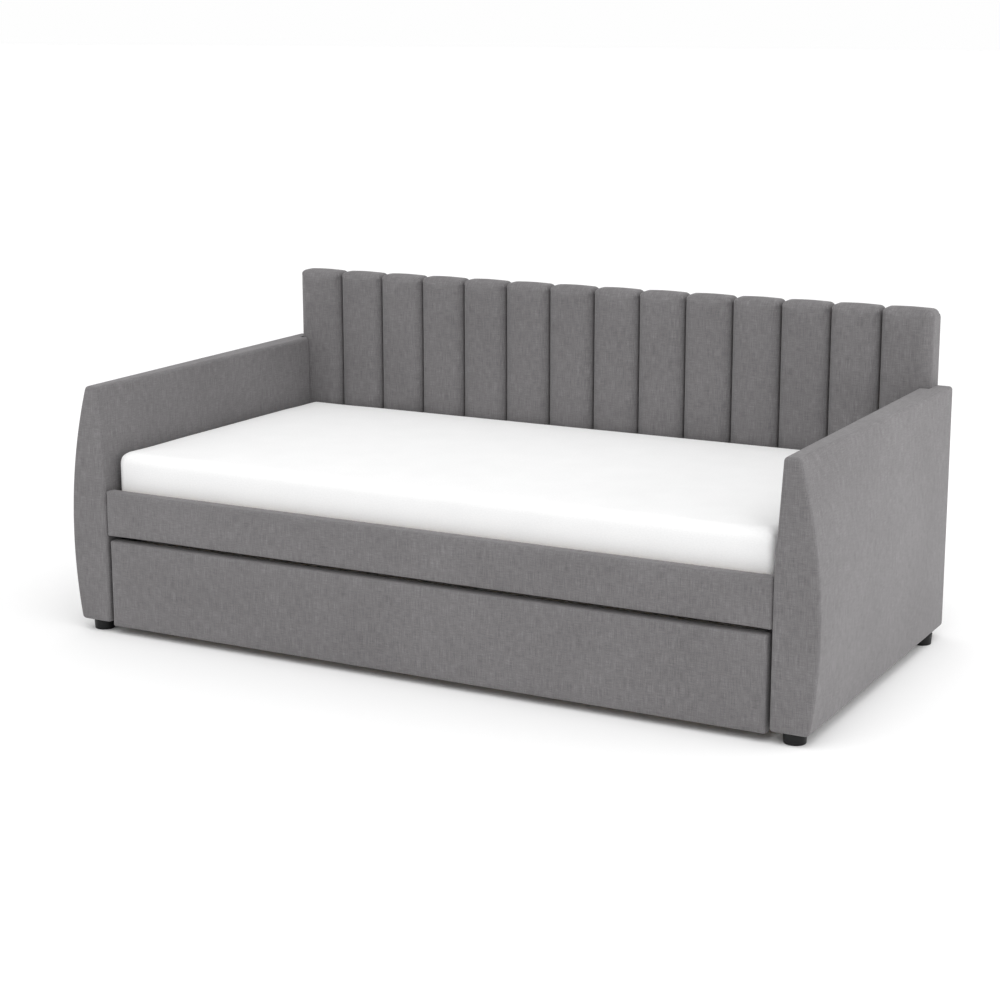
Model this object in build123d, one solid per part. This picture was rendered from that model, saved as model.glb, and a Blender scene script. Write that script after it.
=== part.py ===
from build123d import *
import math
import os

os.makedirs("parts", exist_ok=True)

# Upholstered daybed with a roll-out trundle bed underneath it. Millimetres, +Z up, the front faces -Y.
# The origin is on the floor, under the middle of the bed's overall box.

# ---- Overall bed ----
INNER_WIDTH = 1930.0        # between the two arms, for a twin mattress and its bedding
OVERALL_DEPTH = 1080.0      # front of the arms to the rear of the back
BACK_HEIGHT = 901.0         # floor to the top of the back
ARM_HEIGHT = 684.0          # floor to the top of an arm
FOOT_HEIGHT = 29.0          # floor to the underside of the arms and the back

# ---- Arms ----
ARM_FRONT_THICK = 119.0     # widest point of the bowed front end
ARM_BOW_RADIUS = 1400.0     # radius of the bowed front outline
ARM_BOW_HEIGHT = 270.0      # height of the widest point
ARM_REAR_THICK = 78.0       # straight rear end
ARM_LEAN = 17.0             # how far the inner face leans out at the top of the front end
ARM_EDGE_RADIUS = 9.0       # rounding of the padded edges
ARM_END_PAD = 22.0          # padding over the front end of the wooden frame
ARM_REAR_PAD = 14.0         # padding over the rear end
ARM_TOP_PAD = 24.0          # padding over the top rail
ARM_INNER_PAD = 20.0        # padding over the inner board
INNER_BOARD = 3.0           # hardboard behind the inner padding
ARM_FRAME_THICK = 22.0      # pine posts and rails
OUTER_BOARD = 6.0           # plywood on the outside of the frame
ARM_BASE_WIDTH = 46.0       # flat bottom rail that takes the feet
ARM_BASE_THICK = 22.0
POST_WIDTH = 70.0
RAIL_WIDTH = 45.0
REAR_BATTEN = 18.0
DUST_COVER = 1.0            # black cloth under the arms

# ---- Back ----
BACK_OVERLAP = 35.0         # how far each end of the back reaches into the arm's padding
CHANNEL_COUNT = 14
CHANNEL_DEPTH = 38.0        # padded channel in front of the backing board
CHANNEL_CROWN = 10.0        # how far a channel's middle stands in front of its seams
CHANNEL_GAP = 1.0           # sewn seam between two channels
CHANNEL_EDGE = 9.0          # rounding along the top of a channel
BACK_BOARD = 4.0            # hardboard behind the channels
BACK_FRAME_THICK = 27.0     # pine frame of the back
BACK_REAR_PAD = 8.0         # rear cover with its thin padding
BACK_END_PAD = 3.0          # cover over the two ends
BACK_TOP_PAD = 21.0         # padding over the top rail
BACK_INNER_POSTS = 5
BACK_MID_RAIL = 470.0       # height of the middle rail's underside

# ---- Front rail, slats and mattress ----
PANEL_THICK = 40.0          # padded rail and padded trundle front
PANEL_BOARD = 18.0          # board inside them
PANEL_MARGIN = 10.0         # padding over the board's edges
PANEL_EDGE = 8.0
RAIL_TOP = 400.0
RAIL_HEIGHT = 128.0
LEDGER_THICK = 22.0
LEDGER_HEIGHT = 28.0
LEDGER_END = 50.0           # free space at each end of a ledger, for the corner brackets
SLAT_COUNT = 14
SLAT_WIDTH = 70.0
SLAT_THICK = 16.0
SLAT_RISE = 48.0            # rail's underside to the top of the slats
SLAT_END = 60.0             # arm to the nearest slat
SLAT_PLAY = 2.0
STRAP_WIDTH = 25.0
STRAP_THICK = 1.0
STRAP_SPACING = 560.0
MATTRESS_GAP = 5.0          # mattress to each arm
MATTRESS_PLAY = 2.0         # mattress to the rail and to the back
MATTRESS_THICK = 178.0
MATTRESS_SINK = 1.0         # clearance over the slats
MATTRESS_EDGE = 34.0

# ---- Feet ----
FOOT_RADIUS = 29.0
FOOT_TAPER = 2.0            # how much smaller the foot's radius is at the floor
FOOT_EDGE = 3.0
FOOT_INSET_X = 51.0         # arm's inner face to the foot's centre
FOOT_INSET_FRONT = 42.0
FOOT_INSET_REAR = 102.0

# ---- Fasteners and brackets ----
BOLT_RADIUS = 4.0
BOLT_HOLE = 0.2             # radial clearance around every bolt and screw
BOLT_HEAD_RADIUS = 7.0
BOLT_HEAD = 5.0
BRACKET_THICK = 3.0
BRACKET_HEIGHT = 40.0
BRACKET_LIFT = 6.0          # rail's underside to the brackets
BRACKET_RAIL_LEG = 40.0
FRONT_BRACKET_LEG = 48.0
FRONT_BOLT_REACH = 32.0     # rail's rear face to the arm bolts
REAR_BRACKET_LEG = 85.0
REAR_BOLT_REACH = 68.0      # backing board to the arm bolts
BRACKET_BOLT_PITCH = 18.0
ARM_BOLT_LENGTH = 40.0
RAIL_BOLT_LENGTH = 20.0
FOOT_BOLT_LENGTH = 18.0

# ---- Trundle ----
TRUNDLE_SIDE_GAP = 7.0      # trundle front to each arm
TRUNDLE_TOP_GAP = 8.0       # trundle front to the rail; it is pulled out by this gap
TRUNDLE_FLOOR_GAP = 18.0
TRUNDLE_REAR_GAP = 12.0     # trundle to the bed's backing board
TRUNDLE_BOARD = 18.0
TRUNDLE_SIDE_INSET = 10.0   # side board to the end of the trundle front
TRUNDLE_BOARD_LOW = 40.0
TRUNDLE_SLAT_THICK = 12.0
TRUNDLE_LEDGER_HEIGHT = 22.0
TRUNDLE_REAR_HEIGHT = 110.0
TRUNDLE_HEADROOM = 25.0     # lower mattress to the rail's underside
TRUNDLE_MATTRESS_INSET = 8.0
TRUNDLE_MATTRESS_PLAY = 3.0
BLOCK_WIDTH = 60.0
BLOCK_LENGTH = 80.0
BLOCK_HEIGHT = 26.0
SCREW_RADIUS = 2.5
SCREW_HEAD_RADIUS = 5.0
SCREW_HEAD = 3.0
CONFIRMAT_LENGTH = 58.0
CONFIRMAT_EDGE = 12.0       # side board's edge to each confirmat screw

# ---- Casters ----
WHEEL_RADIUS = 25.0
WHEEL_WIDTH = 20.0
WHEEL_TOP_GAP = 5.5         # wheel to the mounting plate
WHEEL_EDGE = 3.0
TREAD_DEPTH = 1.5
AXLE_RADIUS = 4.0
AXLE_PLAY = 0.05            # radial running clearance in the wheel
AXLE_HEAD_RADIUS = 6.5
AXLE_HEAD = 2.0
FORK_GAP = 2.0              # wheel to each cheek
FORK_THICK = 2.5
FORK_WIDTH = 26.0
PLATE_LENGTH = 70.0
PLATE_WIDTH = 54.0
CASTER_SCREW_X = 19.0
CASTER_SCREW_Y = 27.0
CASTER_SCREW_LENGTH = 20.0

# ---- Planes and heights that follow from the values above ----
HALF_IN = INNER_WIDTH / 2
RAIL_LOW = RAIL_TOP - RAIL_HEIGHT
SLAT_TOP = RAIL_LOW + SLAT_RISE
SLAT_LOW = SLAT_TOP - SLAT_THICK
FRONT = -OVERALL_DEPTH / 2
REAR = OVERALL_DEPTH / 2
ARM_OUT = HALF_IN + ARM_FRONT_THICK
BACK_HALF = HALF_IN + BACK_OVERLAP
BACK_BUILD = CHANNEL_DEPTH + BACK_BOARD + BACK_FRAME_THICK + BACK_REAR_PAD
BACK_FRONT = REAR - BACK_BUILD
BOARD_FRONT = BACK_FRONT + CHANNEL_DEPTH
FRAME_FRONT = BOARD_FRONT + BACK_BOARD
FRAME_REAR = REAR - BACK_REAR_PAD
FRAME_TOP = BACK_HEIGHT - BACK_TOP_PAD
FRAME_LOW = FOOT_HEIGHT + DUST_COVER
CHANNEL_LOW = SLAT_TOP + SLAT_PLAY
PANEL_REAR = FRONT + PANEL_THICK
BOARD_IN = PANEL_REAR - PANEL_BOARD
ARM_BOARD_IN = HALF_IN + ARM_INNER_PAD
ARM_FRAME_IN = ARM_BOARD_IN + INNER_BOARD
ARM_FRAME_OUT = ARM_FRAME_IN + ARM_FRAME_THICK
ARM_BOARD_OUT = ARM_FRAME_OUT + OUTER_BOARD
ARM_FRAME_FRONT = FRONT + ARM_END_PAD
ARM_FRAME_REAR = BACK_FRONT - MATTRESS_GAP - OUTER_BOARD
ARM_FRAME_TOP = ARM_HEIGHT - ARM_TOP_PAD
ARM_BASE_TOP = FRAME_LOW + ARM_BASE_THICK
FOOT_X = HALF_IN + FOOT_INSET_X
FOOT_FRONT_Y = FRONT + FOOT_INSET_FRONT
FOOT_REAR_Y = REAR - FOOT_INSET_REAR
BRACKET_LOW = RAIL_LOW + BRACKET_LIFT
BRACKET_MID = BRACKET_LOW + BRACKET_HEIGHT / 2
TRUNDLE_HALF = HALF_IN - TRUNDLE_SIDE_GAP
TRUNDLE_TOP = RAIL_LOW - TRUNDLE_TOP_GAP
TRUNDLE_REAR = BOARD_FRONT - TRUNDLE_REAR_GAP
TRUNDLE_BACK_IN = TRUNDLE_REAR - TRUNDLE_BOARD
TRUNDLE_SIDE_OUT = TRUNDLE_HALF - TRUNDLE_SIDE_INSET
TRUNDLE_SIDE_IN = TRUNDLE_SIDE_OUT - TRUNDLE_BOARD
BLOCK_LOW = 2 * WHEEL_RADIUS + WHEEL_TOP_GAP + FORK_THICK
TRUNDLE_SLAT_LOW = BLOCK_LOW + BLOCK_HEIGHT
TRUNDLE_SLAT_TOP = TRUNDLE_SLAT_LOW + TRUNDLE_SLAT_THICK
WHEEL_X = TRUNDLE_SIDE_IN - BLOCK_WIDTH / 2
WHEEL_FRONT_Y = PANEL_REAR + BLOCK_LENGTH / 2
WHEEL_REAR_Y = TRUNDLE_BACK_IN - BLOCK_LENGTH / 2
CORNERS = {
    "front_left": (-1, WHEEL_FRONT_Y),
    "front_right": (1, WHEEL_FRONT_Y),
    "rear_left": (-1, WHEEL_REAR_Y),
    "rear_right": (1, WHEEL_REAR_Y),
}


# ---- Small helpers ----
def block(x0, x1, y0, y1, z0, z1):
    """A box between two corners."""
    centre = Pos((x0 + x1) / 2, (y0 + y1) / 2, (z0 + z1) / 2)
    return centre * Box(x1 - x0, y1 - y0, z1 - z0)


def rod(start, direction, radius, length):
    """A round bar from a start point along a direction."""
    plane = Plane(origin=start, z_dir=direction)
    return plane * Cylinder(radius, length, align=(Align.CENTER, Align.CENTER, Align.MIN))


def both_sides(solid):
    """A right-hand solid and its left-hand twin."""
    return [solid, mirror(solid, about=Plane.YZ)]


def cut_all(solid, tools):
    """A solid with every tool cut out of it."""
    for tool in tools:
        solid = solid - tool
    return solid


def save(name, solids):
    """Writes one sub-part, which may be a group of separate solids."""
    pieces = []
    for solid in solids:
        pieces.extend(solid.solids())
    shape = pieces[0] if len(pieces) == 1 else Compound(children=pieces)
    shape.label = name
    export_step(shape, f"parts/{name}.step")


# ---- Fasteners ----
def bolt(head_face, direction, length, clearance=0.0):
    """A hex bolt whose head seats on head_face and whose shank runs along direction."""
    shank = rod(head_face, direction, BOLT_RADIUS + clearance, length)
    if clearance:
        return shank
    back = Vector(*head_face) - Vector(*direction) * BOLT_HEAD
    plane = Plane(origin=back, z_dir=direction)
    head = extrude(plane * RegularPolygon(BOLT_HEAD_RADIUS, 6), BOLT_HEAD)
    return shank + head


def screw(head_face, direction, length, clearance=0.0):
    """A countersunk screw whose flat head is level with head_face."""
    head = rod(head_face, direction, SCREW_HEAD_RADIUS + clearance, SCREW_HEAD + clearance)
    return rod(head_face, direction, SCREW_RADIUS + clearance, length) + head


def arm_bolts(clearance=0.0):
    """Bolts from the corner brackets into the right arm's posts."""
    bolts = []
    for y in (PANEL_REAR + FRONT_BOLT_REACH, BOARD_FRONT - REAR_BOLT_REACH):
        for side in (-1, 1):
            z = BRACKET_MID + side * BRACKET_BOLT_PITCH / 2
            bolts.append(bolt((HALF_IN - BRACKET_THICK, y, z), (1, 0, 0), ARM_BOLT_LENGTH, clearance))
    return bolts


def rail_bolts(clearance=0.0):
    """Bolts from the front brackets into the rail's board, on the right."""
    bolts = []
    x = HALF_IN - BRACKET_RAIL_LEG / 2 - BRACKET_THICK
    for side in (-1, 1):
        z = BRACKET_MID + side * BRACKET_BOLT_PITCH / 2
        start = (x, PANEL_REAR + BRACKET_THICK, z)
        bolts.append(bolt(start, (0, -1, 0), RAIL_BOLT_LENGTH, clearance))
    return bolts


def back_bolts(clearance=0.0):
    """Bolts from the rear brackets into the back's end post, on the right."""
    bolts = []
    x = HALF_IN - BRACKET_RAIL_LEG / 2 - BRACKET_THICK
    for side in (-1, 1):
        z = BRACKET_MID + side * BRACKET_BOLT_PITCH / 2
        start = (x, BOARD_FRONT - BRACKET_THICK, z)
        bolts.append(bolt(start, (0, 1, 0), RAIL_BOLT_LENGTH, clearance))
    return bolts


def foot_bolts(clearance=0.0):
    """Studs that hold the right-hand feet to the arm's bottom rail."""
    bolts = []
    for y in (FOOT_FRONT_Y, FOOT_REAR_Y):
        start = (FOOT_X, y, FOOT_HEIGHT - BOLT_HEAD)
        bolts.append(bolt(start, (0, 0, 1), BOLT_HEAD + FOOT_BOLT_LENGTH, clearance))
    return bolts


# ---- Back ----
def back_envelope():
    """The space that the back takes, right-hand half, which the arm's padding gives way to."""
    upper = block(0, BACK_HALF, BACK_FRONT, REAR, CHANNEL_LOW, BACK_HEIGHT)
    lower = block(0, BACK_HALF, BOARD_FRONT, REAR, FOOT_HEIGHT, CHANNEL_LOW)
    return upper + lower


def back_channel(index):
    """One padded channel: crowned in front, carried over the top of the frame."""
    span = 2 * (BACK_HALF - BACK_END_PAD)
    pitch = span / CHANNEL_COUNT
    left = -span / 2 + index * pitch + CHANNEL_GAP / 2
    right = left + pitch - CHANNEL_GAP
    seam_y = BACK_FRONT + CHANNEL_CROWN
    front = ThreePointArc((left, seam_y), ((left + right) / 2, BACK_FRONT), (right, seam_y))
    rest = Polyline((right, seam_y), (right, FRAME_REAR), (left, FRAME_REAR), (left, seam_y))
    pad = extrude(Plane.XY.offset(CHANNEL_LOW) * make_face([front, rest]), BACK_HEIGHT - CHANNEL_LOW)
    top_edge = pad.edges().filter_by(GeomType.CIRCLE).sort_by(Axis.Z)[-1]
    pad = fillet(top_edge, CHANNEL_EDGE)
    return pad - block(left, right, BOARD_FRONT, FRAME_REAR, CHANNEL_LOW, FRAME_TOP)


def back_rear_cover():
    """Rear cloth with thin padding, wrapped round both ends of the back."""
    cover = block(-BACK_HALF, BACK_HALF, FRAME_REAR, REAR, FOOT_HEIGHT, BACK_HEIGHT)
    cover = fillet(cover.edges().filter_by(Axis.X).group_by(Axis.Y)[-1], BACK_REAR_PAD / 2)
    seam_y = BACK_FRONT + CHANNEL_CROWN
    upper = block(BACK_HALF - BACK_END_PAD, BACK_HALF, seam_y, FRAME_REAR, CHANNEL_LOW, BACK_HEIGHT)
    lower = block(BACK_HALF - BACK_END_PAD, BACK_HALF, BOARD_FRONT, FRAME_REAR, FOOT_HEIGHT, CHANNEL_LOW)
    for end in both_sides(upper + lower):
        cover = cover + end
    return cover


def back_board():
    """Hardboard behind the channels."""
    half = BACK_HALF - BACK_END_PAD
    board = block(-half, half, BOARD_FRONT, FRAME_FRONT, FRAME_LOW, FRAME_TOP)
    holes = [hole for one in back_bolts(BOLT_HOLE) for hole in both_sides(one)]
    return cut_all(board, holes)


def back_rails():
    """Top, middle and bottom rails between the two end posts."""
    half = BACK_HALF - BACK_END_PAD - POST_WIDTH
    lows = (FRAME_LOW, BACK_MID_RAIL, FRAME_TOP - RAIL_WIDTH)
    return [block(-half, half, FRAME_FRONT, FRAME_REAR, z, z + RAIL_WIDTH) for z in lows]


def back_posts():
    """Two full-height end posts, and short posts between the rails."""
    out = BACK_HALF - BACK_END_PAD
    end = block(out - POST_WIDTH, out, FRAME_FRONT, FRAME_REAR, FRAME_LOW, FRAME_TOP)
    end = cut_all(end, back_bolts(BOLT_HOLE))
    posts = both_sides(end)
    pitch = 2 * (out - POST_WIDTH) / (BACK_INNER_POSTS + 1)
    spans = (
        (FRAME_LOW + RAIL_WIDTH, BACK_MID_RAIL),
        (BACK_MID_RAIL + RAIL_WIDTH, FRAME_TOP - RAIL_WIDTH),
    )
    for index in range(BACK_INNER_POSTS):
        x = -out + POST_WIDTH + (index + 1) * pitch
        for low, high in spans:
            half = RAIL_WIDTH / 2
            posts.append(block(x - half, x + half, FRAME_FRONT, FRAME_REAR, low, high))
    return posts


# ---- Arms, all modelled on the right ----
def arm_outline(y, outer_mid, sagitta_low, sagitta_high, lean):
    """Closed outline of an arm at one depth: flat foot, bowed outside, leaning inside."""
    low_out = Vector(outer_mid - sagitta_low, y, FOOT_HEIGHT)
    mid_out = Vector(outer_mid, y, ARM_BOW_HEIGHT)
    top_out = Vector(outer_mid - sagitta_high, y, ARM_HEIGHT)
    low_in = Vector(HALF_IN, y, FOOT_HEIGHT)
    rail_in = Vector(HALF_IN, y, RAIL_TOP)
    top_in = Vector(HALF_IN + lean, y, ARM_HEIGHT)
    edges = [
        Edge.make_line(low_in, low_out),
        Edge.make_three_point_arc(low_out, mid_out, top_out),
        Edge.make_line(top_out, top_in),
        Edge.make_line(top_in, rail_in),
        Edge.make_line(rail_in, low_in),
    ]
    return Wire(edges)


def bow(height):
    """How far the bowed outline falls back from its widest point at a height."""
    rise = height - ARM_BOW_HEIGHT
    return ARM_BOW_RADIUS - math.sqrt(ARM_BOW_RADIUS ** 2 - rise ** 2)


def arm_posts():
    """Pine posts between the bottom rail and the top rail, and the batten beside the back."""
    top = ARM_FRAME_TOP - RAIL_WIDTH
    middle = (ARM_FRAME_FRONT + ARM_FRAME_REAR) / 2
    starts = (ARM_FRAME_FRONT, middle - POST_WIDTH / 2, ARM_FRAME_REAR - POST_WIDTH)
    posts = []
    for y in starts:
        post = block(ARM_FRAME_IN, ARM_FRAME_OUT, y, y + POST_WIDTH, ARM_BASE_TOP, top)
        posts.append(cut_all(post, arm_bolts(BOLT_HOLE)))
    out = ARM_BOARD_OUT + REAR_BATTEN
    rear = REAR - ARM_REAR_PAD
    posts.append(block(ARM_BOARD_OUT, out, BACK_FRONT, rear, ARM_BASE_TOP, ARM_FRAME_TOP))
    return posts


def arm_rails():
    """The rail along the top of the frame and the flat rail that the feet are bolted to."""
    low = ARM_FRAME_TOP - RAIL_WIDTH
    out = ARM_FRAME_IN + ARM_BASE_WIDTH
    top = block(ARM_FRAME_IN, ARM_FRAME_OUT, ARM_FRAME_FRONT, ARM_FRAME_REAR, low, ARM_FRAME_TOP)
    base = block(ARM_FRAME_IN, out, ARM_FRAME_FRONT, ARM_FRAME_REAR, FRAME_LOW, ARM_BASE_TOP)
    return [top, cut_all(base, foot_bolts(BOLT_HOLE))]


def arm_boards():
    """Hardboard under the inner padding, and plywood that joins the frame to the rear batten."""
    rear = REAR - ARM_REAR_PAD
    inner = block(ARM_BOARD_IN, ARM_FRAME_IN, ARM_FRAME_FRONT, ARM_FRAME_REAR, FRAME_LOW, ARM_FRAME_TOP)
    outer = block(ARM_FRAME_OUT, ARM_BOARD_OUT, ARM_FRAME_FRONT, rear, ARM_BASE_TOP, ARM_FRAME_TOP)
    return [cut_all(inner, arm_bolts(BOLT_HOLE)), outer]


def arm_dust_cover():
    """Black cloth stapled under the arm."""
    out = ARM_FRAME_IN + ARM_BASE_WIDTH
    cloth = block(ARM_BOARD_IN, out, ARM_FRAME_FRONT, ARM_FRAME_REAR, FOOT_HEIGHT, FRAME_LOW)
    return cut_all(cloth, foot_bolts(BOLT_HOLE))


def arm_cover():
    """Foam and cloth over the whole arm: bowed at the front, straight at the rear."""
    front = arm_outline(FRONT, ARM_OUT, bow(FOOT_HEIGHT), bow(ARM_HEIGHT), ARM_LEAN)
    rear = arm_outline(REAR, HALF_IN + ARM_REAR_THICK, 1.0, 2.0, 1.0)
    cover = Solid.make_loft([front, rear], ruled=True)
    ends = cover.edges().group_by(Axis.Y)[0]
    cover = fillet(ends.filter_by(lambda edge: edge.length > ARM_FRONT_THICK), ARM_EDGE_RADIUS)
    cover = cover - back_envelope()
    inside = block(
        ARM_FRAME_IN, ARM_FRAME_OUT, ARM_FRAME_FRONT, ARM_FRAME_REAR, ARM_BASE_TOP, ARM_FRAME_TOP
    )
    contents = arm_posts() + arm_rails() + arm_boards() + [arm_dust_cover(), inside]
    return cut_all(cover, contents + arm_bolts(BOLT_HOLE) + foot_bolts(BOLT_HOLE))


def write_arms():
    """Both arms, each in its own nodes."""
    pieces = {
        "cover": [arm_cover()],
        "posts": arm_posts(),
        "rails": arm_rails(),
        "boards": arm_boards(),
        "dust_cover": [arm_dust_cover()],
    }
    for name, solids in pieces.items():
        save(f"right_arm_{name}", solids)
        save(f"left_arm_{name}", [mirror(solid, about=Plane.YZ) for solid in solids])


# ---- Feet ----
def foot(x, y):
    """A round plastic foot, a little smaller at the floor, with a socket for its stud's head."""
    base = Pos(x, y, 0)
    body = base * Cone(
        FOOT_RADIUS - FOOT_TAPER, FOOT_RADIUS, FOOT_HEIGHT, align=(Align.CENTER, Align.CENTER, Align.MIN)
    )
    body = fillet(body.edges().filter_by(GeomType.CIRCLE).sort_by(Axis.Z)[0], FOOT_EDGE)
    socket_low = FOOT_HEIGHT - 2 * BOLT_HEAD - BOLT_HOLE
    socket = rod((x, y, socket_low), (0, 0, 1), BOLT_HEAD_RADIUS + BOLT_HOLE, BOLT_HEAD + BOLT_HOLE)
    shank = rod((x, y, socket_low), (0, 0, 1), BOLT_RADIUS + BOLT_HOLE, FOOT_HEIGHT - socket_low)
    return body - socket - shank


def write_feet():
    """Four feet and their studs."""
    for end, y in (("front", FOOT_FRONT_Y), ("rear", FOOT_REAR_Y)):
        for side, x in (("left", -FOOT_X), ("right", FOOT_X)):
            save(f"{end}_{side}_foot", [foot(x, y)])
    save("foot_studs", [stud for one in foot_bolts() for stud in both_sides(one)])


# ---- Padded panels: front rail and trundle front ----
def panel_board(half, low, high):
    """Board inside a padded panel, level with the panel's rear face."""
    edge = half - PANEL_MARGIN
    return block(-edge, edge, BOARD_IN, PANEL_REAR, low + PANEL_MARGIN, high - PANEL_MARGIN)


def panel_cover(half, low, high):
    """Foam and cloth over the front and the edges of a panel's board."""
    cover = block(-half, half, FRONT, PANEL_REAR, low, high)
    cover = fillet(cover.faces().sort_by(Axis.Y)[0].edges(), PANEL_EDGE)
    return cover - panel_board(half, low, high)


def write_front_rail():
    """Padded rail between the arms, in front of the mattress."""
    board = panel_board(HALF_IN, RAIL_LOW, RAIL_TOP)
    holes = [hole for one in rail_bolts(BOLT_HOLE) for hole in both_sides(one)]
    holes = holes + ledger_screws(BOLT_HOLE)
    save("front_rail_cover", [panel_cover(HALF_IN, RAIL_LOW, RAIL_TOP)])
    save("front_rail_board", [cut_all(board, holes)])


# ---- Slatted base and mattress ----
def ledger_screws(clearance=0.0):
    """Screws that hold the two ledgers."""
    z = SLAT_LOW - LEDGER_HEIGHT / 2
    span = HALF_IN - LEDGER_END - POST_WIDTH
    screws = []
    for step in range(5):
        x = -span + step * span / 2
        front = (x, PANEL_REAR + LEDGER_THICK, z)
        rear = (x, BOARD_FRONT - LEDGER_THICK, z)
        screws.append(screw(front, (0, -1, 0), LEDGER_THICK + PANEL_BOARD / 2, clearance))
        screws.append(screw(rear, (0, 1, 0), LEDGER_THICK + BACK_BOARD, clearance))
    return screws


def ledger(y0, y1):
    """A batten that carries the ends of the slats."""
    half = HALF_IN - LEDGER_END
    return cut_all(block(-half, half, y0, y1, SLAT_LOW - LEDGER_HEIGHT, SLAT_LOW), ledger_screws(BOLT_HOLE))


def slat_row(half, width, y0, y1, low, high):
    """Evenly spaced slats across the bed."""
    pitch = (2 * half - width) / (SLAT_COUNT - 1)
    starts = [-half + index * pitch for index in range(SLAT_COUNT)]
    return [block(x, x + width, y0, y1, low, high) for x in starts]


def strap_pair(half, top):
    """Two webbing straps stapled under the slats to keep them apart."""
    mid = (PANEL_REAR + BOARD_FRONT) / 2
    straps = []
    for y in (mid - STRAP_SPACING / 2, mid + STRAP_SPACING / 2):
        straps.append(block(-half, half, y, y + STRAP_WIDTH, top - STRAP_THICK, top))
    return straps


def mattress(half, y0, y1, low, high, radius):
    """Plain mattress block with rounded upright edges."""
    solid = block(-half, half, y0, y1, low, high)
    return fillet(solid.edges().filter_by(Axis.Z), radius)


def write_bed_base():
    """Ledgers, slats, straps, brackets, bolts and the upper mattress."""
    save("front_ledger", [ledger(PANEL_REAR, PANEL_REAR + LEDGER_THICK)])
    save("rear_ledger", [ledger(BOARD_FRONT - LEDGER_THICK, BOARD_FRONT)])
    half = HALF_IN - SLAT_END
    y0 = PANEL_REAR + SLAT_PLAY
    y1 = BOARD_FRONT - SLAT_PLAY
    save("bed_slats", slat_row(half, SLAT_WIDTH, y0, y1, SLAT_LOW, SLAT_TOP))
    save("bed_slat_straps", strap_pair(half, SLAT_LOW))
    save("ledger_screws", ledger_screws())
    low = SLAT_TOP + MATTRESS_SINK
    bed = mattress(
        HALF_IN - MATTRESS_GAP,
        PANEL_REAR + MATTRESS_PLAY,
        BACK_FRONT - MATTRESS_PLAY,
        low,
        low + MATTRESS_THICK,
        MATTRESS_EDGE,
    )
    save("mattress", [bed])


# ---- Corner brackets ----
def corner_bracket(face_y, direction, arm_leg):
    """Steel angle in a right-hand corner; direction is +1 where its arm leg runs towards +Y."""
    high = BRACKET_LOW + BRACKET_HEIGHT
    ys = sorted((face_y, face_y + direction * BRACKET_THICK))
    on_panel = block(HALF_IN - BRACKET_RAIL_LEG, HALF_IN, ys[0], ys[1], BRACKET_LOW, high)
    ys = sorted((face_y, face_y + direction * arm_leg))
    on_arm = block(HALF_IN - BRACKET_THICK, HALF_IN, ys[0], ys[1], BRACKET_LOW, high)
    holes = arm_bolts(BOLT_HOLE) + rail_bolts(BOLT_HOLE) + back_bolts(BOLT_HOLE)
    return cut_all(on_panel + on_arm, holes)


def write_brackets():
    """Four corner brackets and their bolts."""
    front = corner_bracket(PANEL_REAR, 1, FRONT_BRACKET_LEG)
    rear = corner_bracket(BOARD_FRONT, -1, REAR_BRACKET_LEG)
    bolts = arm_bolts() + rail_bolts() + back_bolts()
    save("corner_brackets", both_sides(front) + both_sides(rear))
    save("bracket_bolts", [one for each in bolts for one in both_sides(each)])


def write_back():
    """The back: cover, board, frame and fourteen channels."""
    board = cut_all(back_board(), ledger_screws(BOLT_HOLE))
    save("back_rear_cover", [back_rear_cover()])
    save("back_board", [board])
    save("back_rails", back_rails())
    save("back_posts", back_posts())
    for index in range(CHANNEL_COUNT):
        save(f"back_channel_{index + 1:02d}", [back_channel(index)])


# ---- Trundle ----
def confirmat_screws(clearance=0.0):
    """Long screws through the front and rear boards into the side boards' ends, on the right."""
    x = (TRUNDLE_SIDE_IN + TRUNDLE_SIDE_OUT) / 2
    screws = []
    for z in (TRUNDLE_BOARD_LOW + CONFIRMAT_EDGE, TRUNDLE_SLAT_TOP - CONFIRMAT_EDGE):
        screws.append(screw((x, BOARD_IN, z), (0, 1, 0), CONFIRMAT_LENGTH, clearance))
        screws.append(screw((x, TRUNDLE_REAR, z), (0, -1, 0), CONFIRMAT_LENGTH, clearance))
    return screws


def trundle_front():
    """Cover and board of the trundle front."""
    holes = [hole for one in confirmat_screws(BOLT_HOLE) for hole in both_sides(one)]
    board = cut_all(panel_board(TRUNDLE_HALF, TRUNDLE_FLOOR_GAP, TRUNDLE_TOP), holes)
    return panel_cover(TRUNDLE_HALF, TRUNDLE_FLOOR_GAP, TRUNDLE_TOP), board


def trundle_side():
    """Right-hand side board, as high as the slats."""
    board = block(
        TRUNDLE_SIDE_IN, TRUNDLE_SIDE_OUT, PANEL_REAR, TRUNDLE_BACK_IN, TRUNDLE_BOARD_LOW, TRUNDLE_SLAT_TOP
    )
    return cut_all(board, confirmat_screws(BOLT_HOLE))


def trundle_rear_board():
    """Rear board, a little higher than the slats, which keeps the mattress from sliding back."""
    high = TRUNDLE_BOARD_LOW + TRUNDLE_REAR_HEIGHT
    out = TRUNDLE_SIDE_OUT
    board = block(-out, out, TRUNDLE_BACK_IN, TRUNDLE_REAR, TRUNDLE_BOARD_LOW, high)
    holes = [hole for one in confirmat_screws(BOLT_HOLE) for hole in both_sides(one)]
    return cut_all(board, holes)


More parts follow.
